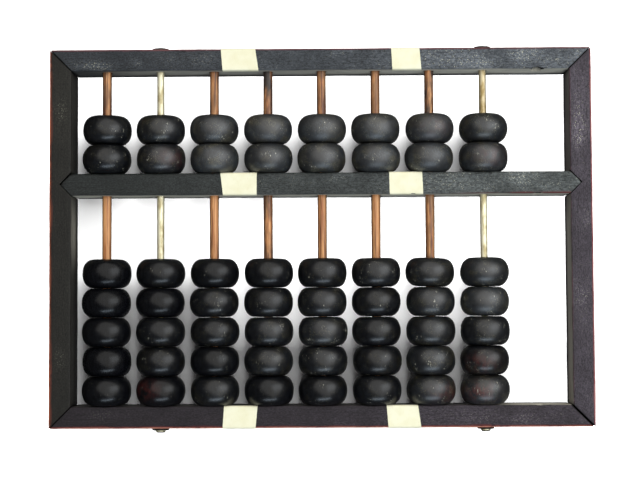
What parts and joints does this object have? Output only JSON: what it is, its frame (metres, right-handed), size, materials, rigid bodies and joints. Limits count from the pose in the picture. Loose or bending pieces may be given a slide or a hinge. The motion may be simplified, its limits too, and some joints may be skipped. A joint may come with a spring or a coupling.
{
  "type": "abacus",
  "caption": "Mitred black-lacquered wooden frame with a divided beam, round rods and rounded wooden beads that slide along them.",
  "frame": {"origin": "on the surface that the abacus lies on, under the middle of its outline", "axes": "+X along the rails to the right, +Y along the rods towards the upper deck, +Z out of the front face"},
  "size_m": [0.265, 0.1894, 0.026],
  "materials": {
    "frame_wood": "worn black lacquer on reddish hardwood, satin to matt, with dust",
    "bead_wood": "black-stained turned hardwood, satin, polished by handling",
    "rod_bamboo": "reddish-brown split bamboo, scraped round, satin",
    "rod_brass": "pale drawn brass, slightly tarnished",
    "washer_steel": "dark tarnished iron",
    "paper_tape": "pale cream crepe paper tape, matt"
  },
  "bodies": {
    "frame": {"rails_and_rods": "frame_wood", "left_stile": "frame_wood", "right_stile": "frame_wood", "beam": "frame_wood"},
    "rod_1_lower_bead_1": {"rod_1_lower_bead_1": "bead_wood"},
    "rod_1_lower_bead_2": {"rod_1_lower_bead_2": "bead_wood"},
    "rod_1_lower_bead_3": {"rod_1_lower_bead_3": "bead_wood"},
    "rod_1_lower_bead_4": {"rod_1_lower_bead_4": "bead_wood"},
    "rod_1_lower_bead_5": {"rod_1_lower_bead_5": "bead_wood"},
    "rod_1_upper_bead_1": {"rod_1_upper_bead_1": "bead_wood"},
    "rod_1_upper_bead_2": {"rod_1_upper_bead_2": "bead_wood"},
    "rod_2_lower_bead_1": {"rod_2_lower_bead_1": "bead_wood"},
    "rod_2_lower_bead_2": {"rod_2_lower_bead_2": "bead_wood"},
    "rod_2_lower_bead_3": {"rod_2_lower_bead_3": "bead_wood"},
    "rod_2_lower_bead_4": {"rod_2_lower_bead_4": "bead_wood"},
    "rod_2_lower_bead_5": {"rod_2_lower_bead_5": "bead_wood"},
    "rod_2_upper_bead_1": {"rod_2_upper_bead_1": "bead_wood"},
    "rod_2_upper_bead_2": {"rod_2_upper_bead_2": "bead_wood"},
    "rod_3_lower_bead_1": {"rod_3_lower_bead_1": "bead_wood"},
    "rod_3_lower_bead_2": {"rod_3_lower_bead_2": "bead_wood"},
    "rod_3_lower_bead_3": {"rod_3_lower_bead_3": "bead_wood"},
    "rod_3_lower_bead_4": {"rod_3_lower_bead_4": "bead_wood"},
    "rod_3_lower_bead_5": {"rod_3_lower_bead_5": "bead_wood"},
    "rod_3_upper_bead_1": {"rod_3_upper_bead_1": "bead_wood"},
    "rod_3_upper_bead_2": {"rod_3_upper_bead_2": "bead_wood"},
    "rod_4_lower_bead_1": {"rod_4_lower_bead_1": "bead_wood"},
    "rod_4_lower_bead_2": {"rod_4_lower_bead_2": "bead_wood"},
    "rod_4_lower_bead_3": {"rod_4_lower_bead_3": "bead_wood"},
    "rod_4_lower_bead_4": {"rod_4_lower_bead_4": "bead_wood"},
    "rod_4_lower_bead_5": {"rod_4_lower_bead_5": "bead_wood"},
    "rod_4_upper_bead_1": {"rod_4_upper_bead_1": "bead_wood"},
    "rod_4_upper_bead_2": {"rod_4_upper_bead_2": "bead_wood"},
    "rod_5_lower_bead_1": {"rod_5_lower_bead_1": "bead_wood"},
    "rod_5_lower_bead_2": {"rod_5_lower_bead_2": "bead_wood"},
    "rod_5_lower_bead_3": {"rod_5_lower_bead_3": "bead_wood"},
    "rod_5_lower_bead_4": {"rod_5_lower_bead_4": "bead_wood"},
    "rod_5_lower_bead_5": {"rod_5_lower_bead_5": "bead_wood"},
    "rod_5_upper_bead_1": {"rod_5_upper_bead_1": "bead_wood"},
    "rod_5_upper_bead_2": {"rod_5_upper_bead_2": "bead_wood"},
    "rod_6_lower_bead_1": {"rod_6_lower_bead_1": "bead_wood"},
    "rod_6_lower_bead_2": {"rod_6_lower_bead_2": "bead_wood"},
    "rod_6_lower_bead_3": {"rod_6_lower_bead_3": "bead_wood"},
    "rod_6_lower_bead_4": {"rod_6_lower_bead_4": "bead_wood"},
    "rod_6_lower_bead_5": {"rod_6_lower_bead_5": "bead_wood"},
    "rod_6_upper_bead_1": {"rod_6_upper_bead_1": "bead_wood"},
    "rod_6_upper_bead_2": {"rod_6_upper_bead_2": "bead_wood"},
    "rod_7_lower_bead_1": {"rod_7_lower_bead_1": "bead_wood"},
    "rod_7_lower_bead_2": {"rod_7_lower_bead_2": "bead_wood"},
    "rod_7_lower_bead_3": {"rod_7_lower_bead_3": "bead_wood"},
    "rod_7_lower_bead_4": {"rod_7_lower_bead_4": "bead_wood"},
    "rod_7_lower_bead_5": {"rod_7_lower_bead_5": "bead_wood"},
    "rod_7_upper_bead_1": {"rod_7_upper_bead_1": "bead_wood"},
    "rod_7_upper_bead_2": {"rod_7_upper_bead_2": "bead_wood"},
    "rod_8_lower_bead_1": {"rod_8_lower_bead_1": "bead_wood"},
    "rod_8_lower_bead_2": {"rod_8_lower_bead_2": "bead_wood"},
    "rod_8_lower_bead_3": {"rod_8_lower_bead_3": "bead_wood"},
    "rod_8_lower_bead_4": {"rod_8_lower_bead_4": "bead_wood"},
    "rod_8_lower_bead_5": {"rod_8_lower_bead_5": "bead_wood"},
    "rod_8_upper_bead_1": {"rod_8_upper_bead_1": "bead_wood"},
    "rod_8_upper_bead_2": {"rod_8_upper_bead_2": "bead_wood"}
  },
  "joints": [
    {"name": "rod_1_lower_bead_1_slide", "type": "slide", "parent": "frame", "child": "rod_1_lower_bead_1", "axis": [0, 1, 0], "range_m": [0, 0.0061]},
    {"name": "rod_1_lower_bead_2_slide", "type": "slide", "parent": "rod_1_lower_bead_1", "child": "rod_1_lower_bead_2", "axis": [0, 1, 0], "range_m": [0, 0.0061]},
    {"name": "rod_1_lower_bead_3_slide", "type": "slide", "parent": "rod_1_lower_bead_2", "child": "rod_1_lower_bead_3", "axis": [0, 1, 0], "range_m": [0, 0.0061]},
    {"name": "rod_1_lower_bead_4_slide", "type": "slide", "parent": "rod_1_lower_bead_3", "child": "rod_1_lower_bead_4", "axis": [0, 1, 0], "range_m": [0, 0.0061]},
    {"name": "rod_1_lower_bead_5_slide", "type": "slide", "parent": "rod_1_lower_bead_4", "child": "rod_1_lower_bead_5", "axis": [0, 1, 0], "range_m": [0, 0.0061]},
    {"name": "rod_1_upper_bead_1_slide", "type": "slide", "parent": "frame", "child": "rod_1_upper_bead_1", "axis": [0, 1, 0], "range_m": [0, 0.0107]},
    {"name": "rod_1_upper_bead_2_slide", "type": "slide", "parent": "rod_1_upper_bead_1", "child": "rod_1_upper_bead_2", "axis": [0, 1, 0], "range_m": [0, 0.0107]},
    {"name": "rod_2_lower_bead_1_slide", "type": "slide", "parent": "frame", "child": "rod_2_lower_bead_1", "axis": [0, 1, 0], "range_m": [0, 0.0061]},
    {"name": "rod_2_lower_bead_2_slide", "type": "slide", "parent": "rod_2_lower_bead_1", "child": "rod_2_lower_bead_2", "axis": [0, 1, 0], "range_m": [0, 0.0061]},
    {"name": "rod_2_lower_bead_3_slide", "type": "slide", "parent": "rod_2_lower_bead_2", "child": "rod_2_lower_bead_3", "axis": [0, 1, 0], "range_m": [0, 0.0061]},
    {"name": "rod_2_lower_bead_4_slide", "type": "slide", "parent": "rod_2_lower_bead_3", "child": "rod_2_lower_bead_4", "axis": [0, 1, 0], "range_m": [0, 0.0061]},
    {"name": "rod_2_lower_bead_5_slide", "type": "slide", "parent": "rod_2_lower_bead_4", "child": "rod_2_lower_bead_5", "axis": [0, 1, 0], "range_m": [0, 0.0061]},
    {"name": "rod_2_upper_bead_1_slide", "type": "slide", "parent": "frame", "child": "rod_2_upper_bead_1", "axis": [0, 1, 0], "range_m": [0, 0.0107]},
    {"name": "rod_2_upper_bead_2_slide", "type": "slide", "parent": "rod_2_upper_bead_1", "child": "rod_2_upper_bead_2", "axis": [0, 1, 0], "range_m": [0, 0.0107]},
    {"name": "rod_3_lower_bead_1_slide", "type": "slide", "parent": "frame", "child": "rod_3_lower_bead_1", "axis": [0, 1, 0], "range_m": [0, 0.0061]},
    {"name": "rod_3_lower_bead_2_slide", "type": "slide", "parent": "rod_3_lower_bead_1", "child": "rod_3_lower_bead_2", "axis": [0, 1, 0], "range_m": [0, 0.0061]},
    {"name": "rod_3_lower_bead_3_slide", "type": "slide", "parent": "rod_3_lower_bead_2", "child": "rod_3_lower_bead_3", "axis": [0, 1, 0], "range_m": [0, 0.0061]},
    {"name": "rod_3_lower_bead_4_slide", "type": "slide", "parent": "rod_3_lower_bead_3", "child": "rod_3_lower_bead_4", "axis": [0, 1, 0], "range_m": [0, 0.0061]},
    {"name": "rod_3_lower_bead_5_slide", "type": "slide", "parent": "rod_3_lower_bead_4", "child": "rod_3_lower_bead_5", "axis": [0, 1, 0], "range_m": [0, 0.0061]},
    {"name": "rod_3_upper_bead_1_slide", "type": "slide", "parent": "frame", "child": "rod_3_upper_bead_1", "axis": [0, 1, 0], "range_m": [0, 0.0107]},
    {"name": "rod_3_upper_bead_2_slide", "type": "slide", "parent": "rod_3_upper_bead_1", "child": "rod_3_upper_bead_2", "axis": [0, 1, 0], "range_m": [0, 0.0107]},
    {"name": "rod_4_lower_bead_1_slide", "type": "slide", "parent": "frame", "child": "rod_4_lower_bead_1", "axis": [0, 1, 0], "range_m": [0, 0.0061]},
    {"name": "rod_4_lower_bead_2_slide", "type": "slide", "parent": "rod_4_lower_bead_1", "child": "rod_4_lower_bead_2", "axis": [0, 1, 0], "range_m": [0, 0.0061]},
    {"name": "rod_4_lower_bead_3_slide", "type": "slide", "parent": "rod_4_lower_bead_2", "child": "rod_4_lower_bead_3", "axis": [0, 1, 0], "range_m": [0, 0.0061]},
    {"name": "rod_4_lower_bead_4_slide", "type": "slide", "parent": "rod_4_lower_bead_3", "child": "rod_4_lower_bead_4", "axis": [0, 1, 0], "range_m": [0, 0.0061]},
    {"name": "rod_4_lower_bead_5_slide", "type": "slide", "parent": "rod_4_lower_bead_4", "child": "rod_4_lower_bead_5", "axis": [0, 1, 0], "range_m": [0, 0.0061]},
    {"name": "rod_4_upper_bead_1_slide", "type": "slide", "parent": "frame", "child": "rod_4_upper_bead_1", "axis": [0, 1, 0], "range_m": [0, 0.0107]},
    {"name": "rod_4_upper_bead_2_slide", "type": "slide", "parent": "rod_4_upper_bead_1", "child": "rod_4_upper_bead_2", "axis": [0, 1, 0], "range_m": [0, 0.0107]},
    {"name": "rod_5_lower_bead_1_slide", "type": "slide", "parent": "frame", "child": "rod_5_lower_bead_1", "axis": [0, 1, 0], "range_m": [0, 0.0061]},
    {"name": "rod_5_lower_bead_2_slide", "type": "slide", "parent": "rod_5_lower_bead_1", "child": "rod_5_lower_bead_2", "axis": [0, 1, 0], "range_m": [0, 0.0061]},
    {"name": "rod_5_lower_bead_3_slide", "type": "slide", "parent": "rod_5_lower_bead_2", "child": "rod_5_lower_bead_3", "axis": [0, 1, 0], "range_m": [0, 0.0061]},
    {"name": "rod_5_lower_bead_4_slide", "type": "slide", "parent": "rod_5_lower_bead_3", "child": "rod_5_lower_bead_4", "axis": [0, 1, 0], "range_m": [0, 0.0061]},
    {"name": "rod_5_lower_bead_5_slide", "type": "slide", "parent": "rod_5_lower_bead_4", "child": "rod_5_lower_bead_5", "axis": [0, 1, 0], "range_m": [0, 0.0061]},
    {"name": "rod_5_upper_bead_1_slide", "type": "slide", "parent": "frame", "child": "rod_5_upper_bead_1", "axis": [0, 1, 0], "range_m": [0, 0.0107]},
    {"name": "rod_5_upper_bead_2_slide", "type": "slide", "parent": "rod_5_upper_bead_1", "child": "rod_5_upper_bead_2", "axis": [0, 1, 0], "range_m": [0, 0.0107]},
    {"name": "rod_6_lower_bead_1_slide", "type": "slide", "parent": "frame", "child": "rod_6_lower_bead_1", "axis": [0, 1, 0], "range_m": [0, 0.0061]},
    {"name": "rod_6_lower_bead_2_slide", "type": "slide", "parent": "rod_6_lower_bead_1", "child": "rod_6_lower_bead_2", "axis": [0, 1, 0], "range_m": [0, 0.0061]},
    {"name": "rod_6_lower_bead_3_slide", "type": "slide", "parent": "rod_6_lower_bead_2", "child": "rod_6_lower_bead_3", "axis": [0, 1, 0], "range_m": [0, 0.0061]},
    {"name": "rod_6_lower_bead_4_slide", "type": "slide", "parent": "rod_6_lower_bead_3", "child": "rod_6_lower_bead_4", "axis": [0, 1, 0], "range_m": [0, 0.0061]},
    {"name": "rod_6_lower_bead_5_slide", "type": "slide", "parent": "rod_6_lower_bead_4", "child": "rod_6_lower_bead_5", "axis": [0, 1, 0], "range_m": [0, 0.0061]},
    {"name": "rod_6_upper_bead_1_slide", "type": "slide", "parent": "frame", "child": "rod_6_upper_bead_1", "axis": [0, 1, 0], "range_m": [0, 0.0107]},
    {"name": "rod_6_upper_bead_2_slide", "type": "slide", "parent": "rod_6_upper_bead_1", "child": "rod_6_upper_bead_2", "axis": [0, 1, 0], "range_m": [0, 0.0107]},
    {"name": "rod_7_lower_bead_1_slide", "type": "slide", "parent": "frame", "child": "rod_7_lower_bead_1", "axis": [0, 1, 0], "range_m": [0, 0.0061]},
    {"name": "rod_7_lower_bead_2_slide", "type": "slide", "parent": "rod_7_lower_bead_1", "child": "rod_7_lower_bead_2", "axis": [0, 1, 0], "range_m": [0, 0.0061]},
    {"name": "rod_7_lower_bead_3_slide", "type": "slide", "parent": "rod_7_lower_bead_2", "child": "rod_7_lower_bead_3", "axis": [0, 1, 0], "range_m": [0, 0.0061]},
    {"name": "rod_7_lower_bead_4_slide", "type": "slide", "parent": "rod_7_lower_bead_3", "child": "rod_7_lower_bead_4", "axis": [0, 1, 0], "range_m": [0, 0.0061]},
    {"name": "rod_7_lower_bead_5_slide", "type": "slide", "parent": "rod_7_lower_bead_4", "child": "rod_7_lower_bead_5", "axis": [0, 1, 0], "range_m": [0, 0.0061]},
    {"name": "rod_7_upper_bead_1_slide", "type": "slide", "parent": "frame", "child": "rod_7_upper_bead_1", "axis": [0, 1, 0], "range_m": [0, 0.0107]},
    {"name": "rod_7_upper_bead_2_slide", "type": "slide", "parent": "rod_7_upper_bead_1", "child": "rod_7_upper_bead_2", "axis": [0, 1, 0], "range_m": [0, 0.0107]},
    {"name": "rod_8_lower_bead_1_slide", "type": "slide", "parent": "frame", "child": "rod_8_lower_bead_1", "axis": [0, 1, 0], "range_m": [0, 0.0061]},
    {"name": "rod_8_lower_bead_2_slide", "type": "slide", "parent": "rod_8_lower_bead_1", "child": "rod_8_lower_bead_2", "axis": [0, 1, 0], "range_m": [0, 0.0061]},
    {"name": "rod_8_lower_bead_3_slide", "type": "slide", "parent": "rod_8_lower_bead_2", "child": "rod_8_lower_bead_3", "axis": [0, 1, 0], "range_m": [0, 0.0061]},
    {"name": "rod_8_lower_bead_4_slide", "type": "slide", "parent": "rod_8_lower_bead_3", "child": "rod_8_lower_bead_4", "axis": [0, 1, 0], "range_m": [0, 0.0061]},
    {"name": "rod_8_lower_bead_5_slide", "type": "slide", "parent": "rod_8_lower_bead_4", "child": "rod_8_lower_bead_5", "axis": [0, 1, 0], "range_m": [0, 0.0061]},
    {"name": "rod_8_upper_bead_1_slide", "type": "slide", "parent": "frame", "child": "rod_8_upper_bead_1", "axis": [0, 1, 0], "range_m": [0, 0.0107]},
    {"name": "rod_8_upper_bead_2_slide", "type": "slide", "parent": "rod_8_upper_bead_1", "child": "rod_8_upper_bead_2", "axis": [0, 1, 0], "range_m": [0, 0.0107]}
  ]
}
